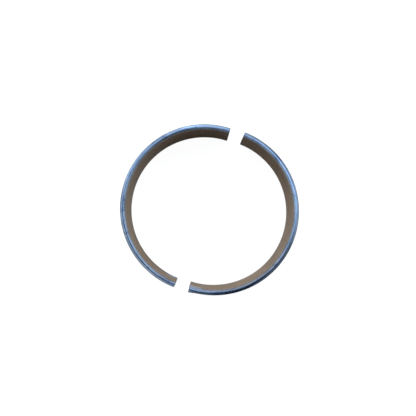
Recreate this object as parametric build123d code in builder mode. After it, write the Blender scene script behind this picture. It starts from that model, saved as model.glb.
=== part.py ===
from build123d import *

import os
from math import cos, degrees, pi, radians, sin

# Connecting rod bearing: two equal half shells that close round a crank pin in the big end of a rod.
# Each half is a steel back with a bearing lining bonded inside it, and has a pressed locating lug at
# one end of its arc. The halves stand on their side edges, as laid out before fitting, with a gap at
# each joint. One is turned over, so that both lugs lie at the same joint.
# Millimetres. +Z runs along the crank pin, +X across the joint and +Y along it. The origin is the
# middle of the pair, on the plane that it stands on.

# The bearing closed in its housing
housing_bore = 51.6  # bore of the rod's big end, which the two backs fill
wall = 1.8  # steel and lining together, at the crown of each half
lining_thickness = 0.22
shell_width = 18.0  # along the crank pin
crush_height = 0.02  # how far each joint face stands proud of the housing's split line
free_spread = 0.85  # how far a half springs open across its joint faces when it is free

# The bore is bored off centre, so the wall thins towards the joint faces, and then relieved beside them
bore_thinning = 0.012  # wall lost to the boring at a joint face
relief_depth = 0.04  # further wall lost there to the relief
relief_length = 7.0  # along the arc

# Edges
back_bevel = 0.72  # at 45 degrees, round the steel back
bore_bevel_across = 0.7  # round the bore, measured across the side edge
bore_bevel_down = 0.5  # and down the bore
joint_edge_break = 0.15  # corners of the joint faces

# Locating lug, pressed out from inside the bore at one joint face
lug_edge = 0.8  # from the side edge to the lug
lug_width = 4.4  # along the crank pin
lug_length = 4.2  # along the arc
lug_rise = 0.36  # beyond the back, at the joint face
lug_recess = 0.55  # depth of the pocket that the press leaves in the bore

# How the pair is laid out
joint_gap = 4.6  # between the joint faces, at the back
joint_slip = 0.38  # how far the lower half has slid along the joint, past the upper one

# A free half is bent to a larger radius than a fitted one, and its length along the arc stays the same
fitted_radius = (housing_bore - wall) / 2
free_radius = fitted_radius + free_spread / 2
span = degrees((pi * fitted_radius + 2 * crush_height) / free_radius)
joint_angle = span / 2  # of each joint face, from the crown
back_radius = free_radius + wall / 2
bore_radius = free_radius - wall / 2
bond_radius = bore_radius + lining_thickness


def polar(radius, angle):
    """The point at a radius from the half's own axis, at an angle in degrees from its crown."""
    return (radius * cos(radians(angle)), radius * sin(radians(angle)))


# The boring cutter's circle, and that of the relief cutter. The relief circle meets the bore at the
# relief's length from the joint face, and lies deeper by the relief's depth at the face.
cutter_radius = bore_radius + bore_thinning
relief_drop = cutter_radius * (1 - cos(relief_length / cutter_radius)) + relief_depth
relief_offset = relief_depth * (2 * cutter_radius + relief_depth) / (2 * relief_drop)
relief_radius = cutter_radius + relief_depth - relief_offset

# The side edges' bevels, as a section of radius and height. It runs on along each bevel, past the back
# and past the bore, so that only the bevels themselves cut the shell.
past = wall
back_land = back_radius - back_bevel
bore_land = bore_radius + bore_bevel_across
lower_edge = [
    (bore_land - past, past * bore_bevel_down / bore_bevel_across),
    (bore_land, 0),
    (back_land, 0),
    (back_land + past, past),
]
upper_edge = [(radius, shell_width - height) for radius, height in reversed(lower_edge)]

# The lug's root is inside the steel, and its outer face runs straight from the back to its full rise
lug_start = joint_angle - degrees(lug_length / back_radius)
lug_root = (bond_radius + back_radius) / 2

# One half, steel and lining together, with its crown on +X and the lug at its +Y end
with BuildPart() as half_shell:
    with BuildSketch() as plan:
        with BuildLine():
            back_arc = CenterArc((0, 0), back_radius, -joint_angle, span)
            Polyline(back_arc @ 1, (0, 0), back_arc @ 0)
        make_face()
        with Locations((-bore_thinning, 0)):
            Circle(cutter_radius, mode=Mode.SUBTRACT)
        with Locations(polar(relief_offset, -joint_angle), polar(relief_offset, joint_angle)):
            Circle(relief_radius, mode=Mode.SUBTRACT)
        joint_corners = plan.vertices().sort_by(Axis.X)[:4]
        chamfer(joint_corners, joint_edge_break)
    extrude(amount=shell_width)

    with BuildSketch(Plane.XZ):
        Polygon(*lower_edge, *upper_edge, align=None)
    revolve(axis=Axis.Z, mode=Mode.INTERSECT)

    with BuildSketch(Plane.XY.offset(lug_edge)):
        Polygon(
            polar(back_radius, lug_start),
            polar(lug_root, lug_start),
            polar(lug_root, joint_angle),
            polar(back_radius + lug_rise, joint_angle),
            align=None,
        )
    extrude(amount=lug_width)

    with BuildSketch(Plane.XY.offset(lug_edge)):
        with BuildLine():
            recess_arc = CenterArc((0, 0), bore_radius + lug_recess, lug_start, 90)
            Polyline(recess_arc @ 1, (0, 0), recess_arc @ 0)
        make_face()
    extrude(amount=lug_width, mode=Mode.SUBTRACT)

# The bond between steel and lining is a plain cylinder through that shell
bond = {"radius": bond_radius, "height": shell_width, "align": (Align.CENTER, Align.CENTER, Align.MIN)}
with BuildPart() as steel_back:
    add(half_shell.part)
    Cylinder(**bond, mode=Mode.SUBTRACT)

with BuildPart() as lining:
    add(half_shell.part)
    Cylinder(**bond, mode=Mode.INTERSECT)

# Where each half stands: x is the direction of its crown, and y, the lug's end, is -Y for both
crown_offset = joint_gap / 2 - back_radius * cos(radians(joint_angle))
seats = {
    "upper": Plane((-crown_offset, -joint_slip / 2, 0), x_dir=(-1, 0, 0), z_dir=(0, 0, 1)),
    "lower": Plane((crown_offset, joint_slip / 2, shell_width), x_dir=(1, 0, 0), z_dir=(0, 0, -1)),
}
os.makedirs("parts", exist_ok=True)
for half, seat in seats.items():
    for layer, made in (("steel_back", steel_back), ("lining", lining)):
        with BuildPart() as placed:
            with Locations(seat):
                add(made.part)
        placed.part.label = f"{half}_{layer}"
        export_step(placed.part, f"parts/{half}_{layer}.step")
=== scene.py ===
import math

import bpy
from mathutils import Matrix, Vector


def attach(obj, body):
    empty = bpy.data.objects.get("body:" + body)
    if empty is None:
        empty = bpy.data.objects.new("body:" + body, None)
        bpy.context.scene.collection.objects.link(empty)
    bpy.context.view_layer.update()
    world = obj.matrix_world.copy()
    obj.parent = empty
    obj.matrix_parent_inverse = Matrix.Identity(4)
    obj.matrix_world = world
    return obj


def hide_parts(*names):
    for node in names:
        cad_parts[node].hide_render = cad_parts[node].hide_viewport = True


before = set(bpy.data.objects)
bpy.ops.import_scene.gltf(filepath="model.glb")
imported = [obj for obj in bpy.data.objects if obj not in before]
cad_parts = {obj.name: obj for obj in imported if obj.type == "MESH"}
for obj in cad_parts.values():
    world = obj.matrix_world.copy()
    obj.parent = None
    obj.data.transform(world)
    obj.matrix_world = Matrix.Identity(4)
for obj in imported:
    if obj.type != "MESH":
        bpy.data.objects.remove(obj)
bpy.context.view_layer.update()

MM = 0.001
NEAR = 1e-6  # two angles, radii or heights that differ by less are the same

# Sizes of the bearing in millimetres, the same as in its CAD source
HOUSING_BORE = 51.6
WALL = 1.8
LINING = 0.22
WIDTH = 18.0
CRUSH = 0.02
SPREAD = 0.85
THINNING = 0.012
RELIEF_DEPTH, RELIEF_LENGTH = 0.04, 7.0
BACK_BEVEL = 0.72
BORE_BEVEL_ACROSS, BORE_BEVEL_DOWN = 0.7, 0.5
EDGE_BREAK = 0.15
LUG_EDGE, LUG_WIDTH, LUG_LENGTH = 0.8, 4.4, 4.2
LUG_RISE, LUG_RECESS = 0.36, 0.55
JOINT_GAP, JOINT_SLIP = 4.6, 0.38

FITTED_RADIUS = (HOUSING_BORE - WALL) / 2
FREE_RADIUS = FITTED_RADIUS + SPREAD / 2
JOINT = (math.pi * FITTED_RADIUS + 2 * CRUSH) / FREE_RADIUS / 2  # each joint face's angle from the crown
BACK = FREE_RADIUS + WALL / 2
BORE = FREE_RADIUS - WALL / 2
BOND = BORE + LINING
BACK_LAND = BACK - BACK_BEVEL  # the side edge is flat from here
BORE_LAND = BORE + BORE_BEVEL_ACROSS  # to here
BORE_SLOPE = BORE_BEVEL_DOWN / BORE_BEVEL_ACROSS
BOND_HEIGHT = BORE_SLOPE * (BORE_LAND - BOND)  # where the bond meets the bore's bevel
LUG_START = JOINT - LUG_LENGTH / BACK
LUG_END_HEIGHT = LUG_EDGE + LUG_WIDTH
MIDDLE = WIDTH / 2

# Fineness of the meshes, and the rounding that tumbling leaves on the corners of the side edge
STEP = math.radians(1.0)
CURVE_STEPS = 4
BORE_CORNER_ROUND, LAND_CORNER_ROUND, BACK_CORNER_ROUND = 0.04, 0.05, 0.3
LUG_CORNER_ROUND, LUG_TAPER = 0.03, 6.0  # the back's corner beside the lug, and the length along which it sharpens
PRESS_ROUND = 0.05  # slope at the foot of the lug and at the rim of its pocket
SHARP_ANGLE = math.radians(35)
LUG_STOPS = (
    LUG_EDGE - PRESS_ROUND / 2, LUG_EDGE, LUG_EDGE + PRESS_ROUND, LUG_EDGE + 2 * PRESS_ROUND,
    LUG_END_HEIGHT - 2 * PRESS_ROUND, LUG_END_HEIGHT - PRESS_ROUND, LUG_END_HEIGHT, LUG_END_HEIGHT + PRESS_ROUND,
)

# Where each half stands: its crown on one side of the joint, and the lower half turned over
CROWN_OFFSET = JOINT_GAP / 2 - BACK * math.cos(JOINT)
SEATS = {
    "upper": Matrix(((-1, 0, 0, -CROWN_OFFSET), (0, -1, 0, -JOINT_SLIP / 2), (0, 0, 1, 0), (0, 0, 0, 1))),
    "lower": Matrix(((1, 0, 0, CROWN_OFFSET), (0, -1, 0, JOINT_SLIP / 2), (0, 0, -1, WIDTH), (0, 0, 0, 1))),
}

# Directions of the photo's picture plane: its right and its top, seen from above
PICTURE_RIGHT = Vector((0.9415, 0.337, 0))
PICTURE_TOP = Vector((-0.337, 0.9415, 0))

# The finishes, in millimetres: where they change across the width and along the arc, and over what length
BACK_REACH = MIDDLE - BACK_BEVEL  # from the middle of the width to the back's bevel
BORE_REACH = MIDDLE - BORE_BEVEL_DOWN  # and to the bore's bevel
RELIEF_START = FREE_RADIUS * JOINT - RELIEF_LENGTH  # along the arc from the crown
EDGE_BLEND, MARK_BLEND, CUT_BLEND, RELIEF_BLEND = 0.5, 0.2, 0.06, 0.4
FILM_WIDTH = 7.0  # of the greyer film beside each side edge
LINE_DEPTH = 0.008  # of the marks that turning and boring leave
SHADE_LINE_CORE, SHADE_LINE_RIM, SHADE_LINE_STRENGTH = 0.05, 0.16, 0.55  # a line of painted shade on the side edge, to either side of its middle

# Their colours
# The dark tone for wear also colours the painted shade lines on the steel's side edges.
STEEL_TONES = {
    "dark": (0.26, 0.34, 0.52), "light": (0.56, 0.7, 0.95), "wear_and_shade_tone": (0.08, 0.14, 0.3), "rough": (0.07, 0.14),
}
BARE_TONES = {
    "dark": (0.42, 0.45, 0.5), "light": (0.62, 0.65, 0.72), "wear_and_shade_tone": (0.19, 0.2, 0.225), "rough": (0.3, 0.45),
}
BRONZE_TONES = {"dark": (0.455, 0.31, 0.212), "light": (0.645, 0.452, 0.317)}
RELIEVED_TONE, FILM_TONE = (0.48, 0.39, 0.31), (0.49, 0.425, 0.37)
BRONZE_DARKENING = 0.4  # of the darker bronze, against its dark tone: on the bore's bevel, and as painted shade towards one joint and the low edge

# The camera in millimetres, and what it sees past the floor
CAMERA_PLACE, CAMERA_AIM = (-0.73, -6.13, 215.5), (-0.635, 0.23, WIDTH)
LENS, SENSOR = 55.3, 36.0
BACKDROP = (0.93, 0.94, 0.95)

INNER, OUTER = 0, 1  # the two layers of points that a mesh lies between


def at_joint(angle):
    return abs(abs(angle) - JOINT) < NEAR


def in_lug(angle, height):
    """Whether a point is on the lug or in its pocket, inside the slopes at their rims."""
    low, high = LUG_EDGE + PRESS_ROUND, LUG_END_HEIGHT - PRESS_ROUND
    return angle > LUG_START + NEAR and low - NEAR < height < high + NEAR


def in_notch(angle, height):
    """Whether a face is in the place where the pocket has cut the lining away."""
    return angle > LUG_START and LUG_EDGE < height < LUG_END_HEIGHT


def bearing_angles():
    """Angles from the crown at which the shell has an edge loop, from one joint face to the other."""
    count = round(2 * JOINT / STEP)
    even = [-JOINT + 2 * JOINT * k / count for k in range(count + 1)]
    broken, pressed = EDGE_BREAK / BACK, PRESS_ROUND / BACK
    special = [-JOINT + broken, JOINT - broken, LUG_START - pressed, LUG_START, LUG_START + pressed]
    plain = [a for a in even if at_joint(a) or all(abs(a - s) > STEP / 3 for s in special)]
    return sorted(plain + special)


def rounded(path, sizes):
    """The path with each inner corner turned into a small curve of its size."""
    points = [path[0]]
    for before, corner, after, size in zip(path, path[1:], path[2:], sizes):
        corner = Vector(corner)
        start = corner + (Vector(before) - corner).normalized() * size
        end = corner + (Vector(after) - corner).normalized() * size
        for k in range(CURVE_STEPS + 1):
            t = k / CURVE_STEPS
            points.append(tuple(start * (1 - t) ** 2 + corner * 2 * t * (1 - t) + end * t * t))
    return points + [path[-1]]


def bored_radius(angle):
    """Radius of the bored and relieved surface, from the half's own axis."""
    cutter = BORE + THINNING
    drop = cutter * (1 - math.cos(RELIEF_LENGTH / cutter)) + RELIEF_DEPTH
    offset = RELIEF_DEPTH * (2 * cutter + RELIEF_DEPTH) / (2 * drop)
    relief = cutter + RELIEF_DEPTH - offset
    turn = JOINT - abs(angle)
    relieved = offset * math.cos(turn) + math.sqrt(relief ** 2 - (offset * math.sin(turn)) ** 2)
    return max(cutter - THINNING * math.cos(angle), relieved)


def lug_face_radius(angle):
    """Radius of the lug's outer face, which runs straight from the back to its full rise."""
    start = Vector((math.cos(LUG_START), math.sin(LUG_START))) * BACK
    end = Vector((math.cos(JOINT), math.sin(JOINT))) * (BACK + LUG_RISE)
    along = end - start
    ray = Vector((math.cos(angle), math.sin(angle)))
    return start.cross(along) / ray.cross(along)


def heights_along(low, high, stops):
    """Heights from low to high, about a millimetre apart, that include the stops."""
    marks = [low, *stops, high]
    heights = []
    for a, b in zip(marks, marks[1:]):
        count = max(1, round(b - a))
        heights += [a + (b - a) * k / count for k in range(count)]
    return heights + [high]


def layered_mesh(name, inner, outer, kept, inside_slot):
    """A closed mesh between two layers of points, with cells left out where kept() says no.

    inner and outer give (radius, height) for each angle and line. inside_slot gives the material of
    the inner layer's faces and of the walls. The attribute "turned" keeps each point's place as the
    lathe sees it: along the arc from the crown, then the radius and the height."""
    angles = bearing_angles()
    layers = [[inner(a) for a in angles], [outer(a) for a in angles]]
    lines = len(layers[INNER][0])
    vertices, turned, index = [], [], {}
    faces, slots = [], []

    def vertex(layer, corner):
        if (layer, corner) not in index:
            i, j = corner
            radius, height = layers[layer][i][j]
            index[layer, corner] = len(vertices)
            vertices.append((radius * math.cos(angles[i]), radius * math.sin(angles[i]), height))
            turned.append((FREE_RADIUS * angles[i], radius, height))
        return index[layer, corner]

    def face(slot, *corners):
        faces.append([vertex(layer, corner) for layer, corner in corners])
        slots.append(slot)

    def middle(i, j):
        heights = [layers[INNER][i + di][j + dj][1] for di in (0, 1) for dj in (0, 1)]
        return (angles[i] + angles[i + 1]) / 2, sum(heights) / 4

    def there(i, j):
        return 0 <= i < len(angles) - 1 and 0 <= j < lines - 1 and kept(*middle(i, j))

    for i in range(len(angles) - 1):
        for j in range(lines - 1):
            if not there(i, j):
                continue
            slot = inside_slot(*middle(i, j))
            a, b, c, d = (i, j), (i + 1, j), (i + 1, j + 1), (i, j + 1)
            face(0, (OUTER, a), (OUTER, b), (OUTER, c), (OUTER, d))
            face(slot, (INNER, a), (INNER, d), (INNER, c), (INNER, b))
            sides = (((i - 1, j), d, a), ((i + 1, j), b, c), ((i, j - 1), a, b), ((i, j + 1), c, d))
            for neighbour, start, end in sides:
                if not there(*neighbour):
                    face(slot, (INNER, start), (INNER, end), (OUTER, end), (OUTER, start))

    mesh = bpy.data.meshes.new(name)
    mesh.from_pydata(vertices, [], faces)
    attribute = mesh.attributes.new("turned", "FLOAT_VECTOR", "POINT")
    attribute.data.foreach_set("vector", [x for point in turned for x in point])
    mesh.polygons.foreach_set("material_index", slots)
    mesh.validate()
    return mesh


def steel_edges(back_round):
    """Outlines of the steel's lower and upper side edge, with the back's corners rounded by back_round."""
    edge = [(BOND, BOND_HEIGHT), (BORE_LAND, 0), (BACK_LAND, 0), (BACK, BACK_BEVEL)]
    path = edge + [(radius, WIDTH - height) for radius, height in reversed(edge)]
    sizes = (BORE_CORNER_ROUND, LAND_CORNER_ROUND, back_round)
    curve = rounded(path, sizes + sizes[::-1])[1:-1]
    return [p for p in curve if p[1] < MIDDLE], [p for p in curve if p[1] > MIDDLE]


def broken_corner(radius, height):
    """A point at a joint face, moved in from the back by the edge break and kept on its bevel."""
    over = radius - (BACK - EDGE_BREAK)
    if over <= 0:
        return radius, height
    if height < BACK_BEVEL - NEAR:
        height += over
    elif height > WIDTH - BACK_BEVEL + NEAR:
        height -= over
    return radius - over, height


def steel_layers():
    """Inner and outer points of the steel back at an angle from the crown."""
    bottom, top = steel_edges(LUG_CORNER_ROUND)
    side = heights_along(bottom[-1][1], top[0][1], LUG_STOPS)[1:-1]
    lug_line = bottom + [(BACK, h) for h in side] + top
    soft_bottom, soft_top = steel_edges(BACK_CORNER_ROUND)
    squeeze = (soft_top[0][1] - soft_bottom[-1][1]) / (top[0][1] - bottom[-1][1])
    plain_line = soft_bottom + [(BACK, MIDDLE + (h - MIDDLE) * squeeze) for h in side] + soft_top

    low, high = BOND_HEIGHT, WIDTH - BOND_HEIGHT
    shares = [k / len(bottom) for k in range(len(bottom))]
    inner_heights = [low + (side[0] - low) * s for s in shares]
    inner_heights += side + [high - (high - side[-1]) * s for s in reversed(shares)]

    def outer(angle):
        before_lug = (LUG_START - angle) * BACK - 1.5 * PRESS_ROUND
        soft = min(1, max(0, before_lug / LUG_TAPER))
        points = []
        for sharp_point, soft_point in zip(lug_line, plain_line):
            share = 1 if sharp_point[1] > MIDDLE else soft
            radius, height = Vector(sharp_point).lerp(soft_point, share)
            if in_lug(angle, height):
                radius = lug_face_radius(angle)
            elif at_joint(angle):
                radius, height = broken_corner(radius, height)
            points.append((radius, height))
        return points

    def inner(angle):
        return [(BORE + LUG_RECESS if in_lug(angle, h) else BOND, h) for h in inner_heights]

    return inner, outer


def lining_layers():
    """Inner and outer points of the lining at an angle from the crown."""
    between = heights_along(LUG_EDGE, WIDTH - LUG_EDGE, (LUG_END_HEIGHT,))

    def inner(angle):
        radius = bored_radius(angle) + (EDGE_BREAK if at_joint(angle) else 0)
        first = BORE_BEVEL_DOWN - BORE_SLOPE * (radius - BORE)
        return [(radius, h) for h in (first, *between, WIDTH - first)]

    def outer(angle):
        return [(BOND, h) for h in (BOND_HEIGHT, *between, WIDTH - BOND_HEIGHT)]

    return inner, outer


class NodeTree:
    """A node tree, with short calls for the nodes that the finishes and the room share."""

    math_node, interpolation = "ShaderNodeMath", "LINEAR"

    def __init__(self, tree):
        self.tree = tree

    def feed(self, socket, value):
        """Give a socket a number or a colour, or link another node's output to it."""
        if isinstance(value, bpy.types.NodeSocket):
            self.tree.links.new(value, socket)
        else:
            socket.default_value = (*value, 1) if isinstance(value, tuple) else value

    def combined(self, operation, *values):
        """The values put together one after another, such as all of them added or multiplied."""
        total = values[0]
        for value in values[1:]:
            node = self.tree.nodes.new(self.math_node)
            node.operation = operation
            self.feed(node.inputs[0], total)
            self.feed(node.inputs[1], value)
            total = node.outputs[0]
        return total

    def added(self, *values):
        return self.combined("ADD", *values)

    def multiplied(self, *values):
        return self.combined("MULTIPLY", *values)

    def ranged(self, value, low, high, to_low=0.0, to_high=1.0):
        """to_low up to the low end of a range, to_high past its high end, and between them inside it."""
        node = self.tree.nodes.new("ShaderNodeMapRange")
        node.interpolation_type = self.interpolation
        for name, number in (("From Min", low), ("From Max", high), ("To Min", to_low), ("To Max", to_high)):
            node.inputs[name].default_value = number
        self.feed(node.inputs["Value"], value)
        return node.outputs["Result"]

    def mixed(self, factor, a, b):
        """Colour a where the factor is 0, and colour b where it is 1."""
        node = self.tree.nodes.new("ShaderNodeMix")
        node.data_type = "RGBA"
        self.feed(node.inputs["Factor"], factor)
        for socket, value in zip([s for s in node.inputs if s.type == "RGBA"], (a, b)):
            self.feed(socket, value)
        return [s for s in node.outputs if s.type == "RGBA"][0]


class Finish(NodeTree):
    """A metal of the bearing. Its patterns lie in the meshes' turned coordinates, so they follow the arc."""

    def __init__(self, name, colour, metallic):
        self.material = bpy.data.materials.new(name)
        self.material.use_nodes = True
        self.material.diffuse_color = (*colour, 1)
        super().__init__(self.material.node_tree)
        self.shader = self.tree.nodes["Principled BSDF"]
        self.shader.inputs["Metallic"].default_value = metallic
        turned = self.tree.nodes.new("ShaderNodeAttribute")
        turned.attribute_name = "turned"
        self.place = turned.outputs["Vector"]
        parts = self.tree.nodes.new("ShaderNodeSeparateXYZ")
        self.feed(parts.inputs["Vector"], self.place)
        self.along, self.radius, self.height = parts.outputs

    def noise(self, scale, detail, roughness=0.5):
        """Noise, where scale is cycles a millimetre along the arc, the radius and the height."""
        mapping = self.tree.nodes.new("ShaderNodeMapping")
        mapping.inputs["Scale"].default_value = scale
        self.feed(mapping.inputs["Vector"], self.place)
        texture = self.tree.nodes.new("ShaderNodeTexNoise")
        for name, number in (("Scale", 1.0), ("Detail", detail), ("Roughness", roughness)):
            texture.inputs[name].default_value = number
        self.feed(texture.inputs["Vector"], mapping.outputs["Vector"])
        return texture.outputs["Fac"]

    def distance(self, coordinate, middle):
        """How far a coordinate is from a value, on either side of it."""
        return self.combined("ABSOLUTE", self.combined("SUBTRACT", coordinate, middle), 0.0)

    def finished(self, colour, roughness, lines, strength):
        """The material with its colour, its roughness and the relief of its fine lines."""
        bump = self.tree.nodes.new("ShaderNodeBump")
        bump.inputs["Strength"].default_value = strength
        bump.inputs["Distance"].default_value = LINE_DEPTH * MM
        self.feed(bump.inputs["Height"], lines)
        for name, value in (("Base Color", colour), ("Roughness", roughness), ("Normal", bump.outputs["Normal"])):
            self.feed(self.shader.inputs[name], value)
        return self.material


def steel_wear_and_shade(nodes, edge, nicks, shade_lines, marked_side):
    """How worn the steel is, and where it has painted shade: scuffs on both side edges, specks all over, and the
    nicks and painted shade lines of one edge.
    """
    scuffs = nodes.noise((0.5, 1.0, 1.0), detail=3.0, roughness=0.6)
    specks = nodes.noise((3.0, 4.0, 4.0), detail=1.0)
    scuffed = nodes.multiplied(edge, nodes.ranged(scuffs, 0.6, 0.68, 0.0, 0.7))
    specked = nodes.ranged(specks, 0.68, 0.78, 0.0, 0.4)
    nicked = nodes.ranged(specks, 0.5, 0.58, 0.0, 0.9)
    marks = [(middle, reach, nicked) for middle, reach in nicks]
    # Painted shade: a dark line along a corner of the side edge, darkening the reflection there.
    for middle, reach, corner in shade_lines:
        from_corner = nodes.distance(nodes.radius, corner)
        marks.append((middle, reach, nodes.ranged(from_corner, SHADE_LINE_CORE, SHADE_LINE_RIM, SHADE_LINE_STRENGTH, 0.0)))

    above_middle = nodes.combined("SUBTRACT", nodes.height, MIDDLE)
    towards_marked = nodes.multiplied(above_middle, marked_side)
    marked_edge = nodes.ranged(towards_marked, BACK_REACH - MARK_BLEND, BACK_REACH)
    marked = []
    for middle, reach, look in marks:
        arc = nodes.distance(nodes.along, FREE_RADIUS * math.radians(middle))
        marked.append(nodes.multiplied(nodes.ranged(arc, reach / 2, reach, 1.0, 0.0), marked_edge, look))
    return nodes.combined("MAXIMUM", scuffed, specked, *marked)


def steel_finish(name, dark, light, wear_and_shade_tone, rough, nicks=(), shade_lines=(), marked_side=1):
    """Turned and tumbled low-carbon steel: fine lines along the arc, and streaks and scuffs on the side edges.

    nicks gives the middle, in degrees from the crown, and the half length, in millimetres, of each
    stretch of edge that handling has nicked. The painted shade lines are given the same way, with a
    radius, where a line of painted shade darkens the edge's reflection. Both are on the upper side
    edge, or on the lower for marked_side -1."""
    nodes = Finish(name, light, metallic=1.0)
    lines = nodes.noise((0.1, 7.0, 7.0), detail=4.0, roughness=0.6)
    streaks = nodes.noise((0.14, 1.1, 1.1), detail=3.0, roughness=0.6)
    clouds = nodes.noise((0.2, 0.5, 0.35), detail=3.0)
    edge = nodes.ranged(nodes.distance(nodes.height, MIDDLE), BACK_REACH - EDGE_BLEND, BACK_REACH)
    on_edge = nodes.added(nodes.ranged(lines, 0.3, 0.7, 0.0, 0.25), nodes.ranged(streaks, 0.4, 0.6, 0.0, 0.75))
    on_back = nodes.added(nodes.ranged(lines, 0.3, 0.7, 0.2, 0.6), nodes.ranged(clouds, 0.35, 0.65, 0.0, 0.25))
    off_edge = nodes.combined("SUBTRACT", 1.0, edge)
    blend = nodes.added(nodes.multiplied(edge, on_edge), nodes.multiplied(off_edge, on_back))
    wear_and_shade = steel_wear_and_shade(nodes, edge, nicks, shade_lines, marked_side)
    # One dark tone serves the wear and the painted shade lines.
    colour = nodes.mixed(wear_and_shade, nodes.mixed(blend, dark, light), wear_and_shade_tone)
    return nodes.finished(colour, nodes.ranged(blend, 0.0, 1.0, *rough), lines, strength=0.06)


def lining_finish(name, dark, light, plain_end, low_edge, low_height):
    """Fine-bored bronze: close feed lines along the arc, and greyer where it is relieved and near the side edges.

    plain_end and low_edge are the darkness of the painted shade towards the joint without the lug, and of the
    further painted shade towards the edge at low_height, which the half stands on."""
    nodes = Finish(name, light, metallic=0.5)
    feed_lines = nodes.noise((0.03, 6.0, 9.0), detail=2.0)
    bands = nodes.noise((0.05, 0.5, 1.3), detail=2.0)
    clouds = nodes.noise((0.25, 0.6, 0.4), detail=4.0, roughness=0.6)
    blend = nodes.added(
        nodes.ranged(feed_lines, 0.3, 0.7, 0.0, 0.3), nodes.ranged(bands, 0.35, 0.65, 0.0, 0.3),
        nodes.ranged(clouds, 0.35, 0.65, 0.0, 0.4),
    )
    colour = nodes.mixed(blend, dark, light)

    from_crown = nodes.distance(nodes.along, 0.0)
    from_middle = nodes.distance(nodes.height, MIDDLE)
    relieved = nodes.ranged(from_crown, RELIEF_START - RELIEF_BLEND, RELIEF_START + RELIEF_BLEND, 0.0, 0.3)
    colour = nodes.mixed(relieved, colour, RELIEVED_TONE)
    film = nodes.ranged(from_middle, MIDDLE - FILM_WIDTH, MIDDLE, 0.0, 0.6)
    colour = nodes.mixed(film, colour, FILM_TONE)

    darker_bronze = tuple(BRONZE_DARKENING * c for c in dark)
    # Darker on the lining's part of the bore's bevel.
    colour = nodes.mixed(nodes.ranged(from_middle, BORE_REACH, BORE_REACH + CUT_BLEND), colour, darker_bronze)
    # Painted shade: darker towards the joint without the lug, and towards both ends along the edge the half stands
    # on.
    near_end = nodes.ranged(nodes.along, -1.1 * FREE_RADIUS, -0.45 * FREE_RADIUS, plain_end, 0.0)
    far_out = nodes.ranged(from_crown, 0.45 * FREE_RADIUS, 0.9 * FREE_RADIUS, 0.4, 1.0)
    near_edge = nodes.ranged(nodes.distance(nodes.height, low_height), 0.0, 0.6 * WIDTH, low_edge, 0.0)
    colour = nodes.mixed(nodes.added(near_end, nodes.multiplied(far_out, near_edge)), colour, darker_bronze)
    return nodes.finished(colour, nodes.ranged(clouds, 0.3, 0.7, 0.42, 0.58), feed_lines, strength=0.3)


steel = {
    "upper": steel_finish(
        "turned_steel_upper", **STEEL_TONES, nicks=((17.0, 3.0), (37.0, 0.8), (-41.0, 1.0)),
        # Lines of painted shade on the upper side edge, darkening its reflection.
        shade_lines=((82.0, 8.0, BORE_LAND), (84.0, 6.0, (BORE_LAND + BACK_LAND) / 2)),
    ),
    "lower": steel_finish(
        "turned_steel_lower", **STEEL_TONES, nicks=((-59.0, 1.4), (22.5, 1.0), (68.0, 3.2)),
        # Lines of painted shade on the lower side edge, darkening its reflection.
        shade_lines=((55.0, 11.0, BORE_LAND), (-49.0, 10.0, BACK_LAND + 0.12)), marked_side=-1,
    ),
}
bare = steel_finish("pressed_steel", **BARE_TONES)
bronze = {
    # plain_end and low_edge set the painted shade on each half's lining.
    "upper": lining_finish("bored_bronze_upper", **BRONZE_TONES, plain_end=0.28, low_edge=0.28, low_height=0.0),
    "lower": lining_finish("bored_bronze_lower", **BRONZE_TONES, plain_end=0.05, low_edge=0.06, low_height=WIDTH),
}


def add_piece(name, mesh, materials, seat, node):
    for material in materials:
        mesh.materials.append(material)
    mesh.transform(Matrix.Scale(MM, 4) @ seat)
    mesh.shade_smooth()
    mesh.set_sharp_from_angle(angle=SHARP_ANGLE)
    piece = bpy.data.objects.new(name, mesh)
    bpy.context.scene.collection.objects.link(piece)
    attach(piece, "root")
    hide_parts(node)


def add_half(half):
    """The half's steel back, bare in the lug's pocket, and its lining, bare between the pocket and the edge."""
    name = f"{half}_back_steel"
    back = layered_mesh(name, *steel_layers(), kept=lambda a, h: True, inside_slot=lambda a, h: int(in_notch(a, h)))
    add_piece(name, back, [steel[half], bare], SEATS[half], f"{half}_steel_back")
    name = f"{half}_bronze_lining"
    lined = layered_mesh(
        name, *lining_layers(), kept=lambda a, h: not in_notch(a, h),
        inside_slot=lambda a, h: int(a > LUG_START and h < LUG_EDGE),
    )
    add_piece(name, lined, [bronze[half], bare], SEATS[half], f"{half}_lining")


def picture_direction(turn, rise):
    """Direction at an angle from the picture's right towards its top, and at an angle above the floor."""
    turn, rise = math.radians(turn), math.radians(rise)
    flat = PICTURE_RIGHT * math.cos(turn) + PICTURE_TOP * math.sin(turn)
    return flat * math.cos(rise) + Vector((0, 0, math.sin(rise)))


def add_camera():
    """Above the pair, where the photo was taken from."""
    data = bpy.data.cameras.new("photo_camera")
    data.lens, data.sensor_width = LENS, SENSOR
    data.clip_start, data.clip_end = 0.01, 10
    camera = bpy.data.objects.new("photo_camera", data)
    bpy.context.scene.collection.objects.link(camera)
    place, aim = Vector(CAMERA_PLACE) * MM, Vector(CAMERA_AIM) * MM
    back = (place - aim).normalized()
    right = (PICTURE_RIGHT - back * PICTURE_RIGHT.dot(back)).normalized()
    turn = Matrix((right, back.cross(right), back)).transposed().to_4x4()
    camera.matrix_world = Matrix.Translation(place) @ turn
    bpy.context.scene.camera = camera


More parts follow.
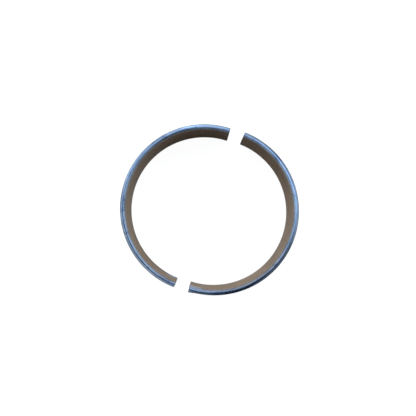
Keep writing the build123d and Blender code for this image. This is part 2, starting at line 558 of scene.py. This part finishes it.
def add_floor():
    """A plain white table, clear from below. The metal sees the world's darker lower half in its place."""
    reach, drop = 1.5, 0.02 * MM
    mesh = bpy.data.meshes.new("floor")
    corners = [(-reach, -reach, 0), (reach, -reach, 0), (reach, reach, 0), (-reach, reach, 0)]
    mesh.from_pydata(corners, [], [(0, 1, 2, 3)])
    floor = bpy.data.objects.new("floor", mesh)
    bpy.context.scene.collection.objects.link(floor)
    floor.location.z = -drop
    material = bpy.data.materials.new("floor_white")
    material.use_nodes = True
    tree = material.node_tree
    shader = tree.nodes["Principled BSDF"]
    shader.inputs["Base Color"].default_value = (0.15, 0.15, 0.15, 1)
    shader.inputs["Roughness"].default_value = 0.9
    shader.inputs["Specular IOR Level"].default_value = 0.1
    shader.inputs["Emission Color"].default_value = (1, 1, 1, 1)
    shader.inputs["Emission Strength"].default_value = 0.95
    clear = tree.nodes.new("ShaderNodeBsdfTransparent")
    side = tree.nodes.new("ShaderNodeNewGeometry")
    sides = tree.nodes.new("ShaderNodeMixShader")
    tree.links.new(side.outputs["Backfacing"], sides.inputs["Fac"])
    for surface, socket in zip((shader, clear), [s for s in sides.inputs if s.type == "SHADER"]):
        tree.links.new(surface.outputs["BSDF"], socket)
    tree.links.new(sides.outputs["Shader"], tree.nodes["Material Output"].inputs["Surface"])
    mesh.materials.append(material)
    floor.visible_diffuse = floor.visible_glossy = False


def add_window():
    """A large soft light that faces the bearing from the picture's top. The metal mirrors the room, not it."""
    data = bpy.data.lights.new("window", "AREA")
    data.shape = "RECTANGLE"
    data.size, data.size_y = 500 * MM, 300 * MM
    data.energy = 1.7
    data.color = (0.85, 0.94, 1.0)
    light = bpy.data.objects.new("window", data)
    bpy.context.scene.collection.objects.link(light)
    direction = picture_direction(90, 50)
    light.location = direction * 400 * MM
    light.rotation_mode = "QUATERNION"
    light.rotation_quaternion = direction.to_track_quat("Z", "Y")
    light.visible_glossy = False


class Room(NodeTree):
    """The world's nodes. A place in the room is a direction from the bearing."""

    math_node, interpolation = "ShaderNodeVectorMath", "SMOOTHSTEP"

    def __init__(self, world):
        super().__init__(world.node_tree)
        self.place = self.tree.nodes.new("ShaderNodeTexCoord").outputs["Generated"]
        self.up = self.towards((0, 0, 1))

    def towards(self, direction):
        """1 in the direction, 0 at right angles to it and -1 behind."""
        node = self.tree.nodes.new("ShaderNodeVectorMath")
        node.operation = "DOT_PRODUCT"
        node.inputs[1].default_value = direction
        self.feed(node.inputs[0], self.place)
        return node.outputs["Value"]

    def patch(self, turn, rise, core, rim, inside, outside=0.0):
        """A round patch of the room: one level up to core degrees from its middle, and another past rim degrees."""
        near, far = math.cos(math.radians(core)), math.cos(math.radians(rim))
        return self.ranged(self.towards(picture_direction(turn, rise)), far, near, outside, inside)

    def ramp(self, value, *stops):
        """Levels at stops between -1 and 1."""
        node = self.tree.nodes.new("ShaderNodeValToRGB")
        band = node.color_ramp
        while len(band.elements) < len(stops):
            band.elements.new(0.5)
        for element, (at, level) in zip(band.elements, stops):
            element.position = (at + 1) / 2
            element.color = (level, level, level, 1)
        spread = self.tree.nodes.new("ShaderNodeMapRange")
        spread.inputs["From Min"].default_value = -1
        self.feed(spread.inputs["Value"], value)
        self.feed(node.inputs["Fac"], spread.outputs["Result"])
        return node.outputs["Color"]


def walls_and_ceiling(room):
    """The room above the table, with the dark shapes that the flat lands and the bevels mirror."""
    horizon = room.ramp(
        room.towards(picture_direction(-62, 0)), (-1, 0.77), (-0.85, 1.0), (-0.6, 0.76), (-0.3, 0.5), (0, 0.58),
        (0.3, 0.54), (0.65, 0.4), (0.78, 0.1), (0.9, 0.04), (1, 0.01),
    )
    walls = room.ramp(
        room.towards(picture_direction(-82, 26)), (-1, 0.41), (-0.62, 0.43), (-0.35, 0.62), (0.1, 0.56), (0.5, 0.4),
        (0.75, 0.31), (1, 0.24),
    )
    ceiling = room.patch(60, 86, 12, 25, 0.27)
    lamp = room.patch(24, 80, 3, 8, 0.55)
    lit = room.added(room.mixed(room.ranged(room.up, 0.05, 0.3), horizon, walls), ceiling, lamp)
    viewer = room.multiplied(room.patch(-52, 70.5, 15.2, 18, 0, 1), room.patch(-62, 47, 11, 18, 0.06, 1))
    curtain = room.patch(50, -6, 10, 25, 0.8, 1)
    shelf = room.patch(207, 76, 9, 14.5, 0.04, 1)
    shade = room.multiplied(room.patch(-102, 52, 14, 26, 0.1, 1), room.patch(-64, 48, 14, 28, 0.5, 1))
    above_table = room.ranged(room.up, -0.4, -0.2)
    return room.multiplied(lit, viewer, curtain, shelf, shade, above_table)


def lamps(room):
    """The pale places of the room, from the ceiling down to just below the table's top."""
    spot = room.patch(-101, 84.5, 0.7, 1.7, 3.8)
    side_lamps = room.added(room.patch(4, 56, 8, 25, 1.1), room.patch(186, 55, 8, 21, 1.4))
    wall_lamps = room.added(
        room.patch(83, 26, 8, 17, 0.3), room.patch(35, 26, 12, 26, 0.12), room.patch(238, 26, 12, 28, 0.12)
    )
    sill = room.patch(100, -4, 3, 10, 1.45)
    doorway = room.patch(18, -7, 8, 20, 0.17)
    glow = room.added(
        room.patch(-44, -6, 10, 22, 0.12), room.patch(-89, -7, 4, 11, 0.06), room.patch(194, -6, 10, 26, 0.07)
    )
    return room.added(spot, side_lamps, wall_lamps, sill, doorway, glow)


def table_below(room):
    """The table as the bore mirrors it, darker towards the picture's bottom."""
    below = room.ramp(room.up, (-1, 0.1), (-0.9, 0.35), (-0.75, 0.8), (-0.6, 0.6), (-0.45, 0.1), (-0.2, 0.02))
    far_side = room.ramp(
        room.towards(picture_direction(-88, 0)), (-1, 0.8), (-0.3, 0.72), (0.02, 0.62), (0.13, 0.16), (0.28, 0)
    )
    table = room.multiplied(below, far_side, room.patch(42, -68, 12, 36, 0.25, 1))
    tile = room.patch(-8, -60, 8, 24, 0.22)
    rim_glow = room.multiplied(room.ranged(room.up, -0.65, -0.45, 0, 0.14), room.ranged(room.up, -0.24, -0.14, 1, 0))
    return room.added(table, tile, rim_glow)


def room_tint(room):
    """The light's colour: bluest overhead and near the horizon, and warmer from the window's wall."""
    tint = room.mixed(room.ranged(room.up, 0.9, 0.97), (0.8, 0.92, 0.99), (0.7, 0.92, 1.12))
    wall_band = room.multiplied(room.ranged(room.up, 0.1, 0.3), room.ranged(room.up, 0.6, 0.85, 1, 0))
    tint = room.mixed(wall_band, tint, (0.83, 0.925, 0.98))
    tint = room.mixed(room.patch(96, -5, 15, 35, 1), tint, (0.74, 0.92, 1.04))
    tint = room.mixed(room.patch(215, -5, 15, 35, 1), tint, (0.88, 0.93, 0.93))
    tint = room.mixed(room.patch(-74, -6, 12, 28, 1), tint, (0.7, 0.9, 1.14))
    return room.mixed(room.patch(100, 40, 15, 45, 1), tint, (0.98, 0.94, 0.92))


def add_world():
    """The room as the metal reflects it: pale and cool, dark past the picture's lower right, and dark below."""
    world = bpy.data.worlds.new("room")
    bpy.context.scene.world = world
    world.use_nodes = True
    room = Room(world)
    light = room.multiplied(room.added(walls_and_ceiling(room), lamps(room), table_below(room)), room_tint(room))
    from_camera = room.tree.nodes.new("ShaderNodeLightPath").outputs["Is Camera Ray"]
    background = room.tree.nodes["Background"]
    room.feed(background.inputs["Color"], room.mixed(from_camera, light, BACKDROP))
    background.inputs["Strength"].default_value = 1.0


for half in SEATS:
    add_half(half)
add_camera()
add_floor()
add_world()
add_window()
bpy.context.scene.view_settings.view_transform = "Standard"
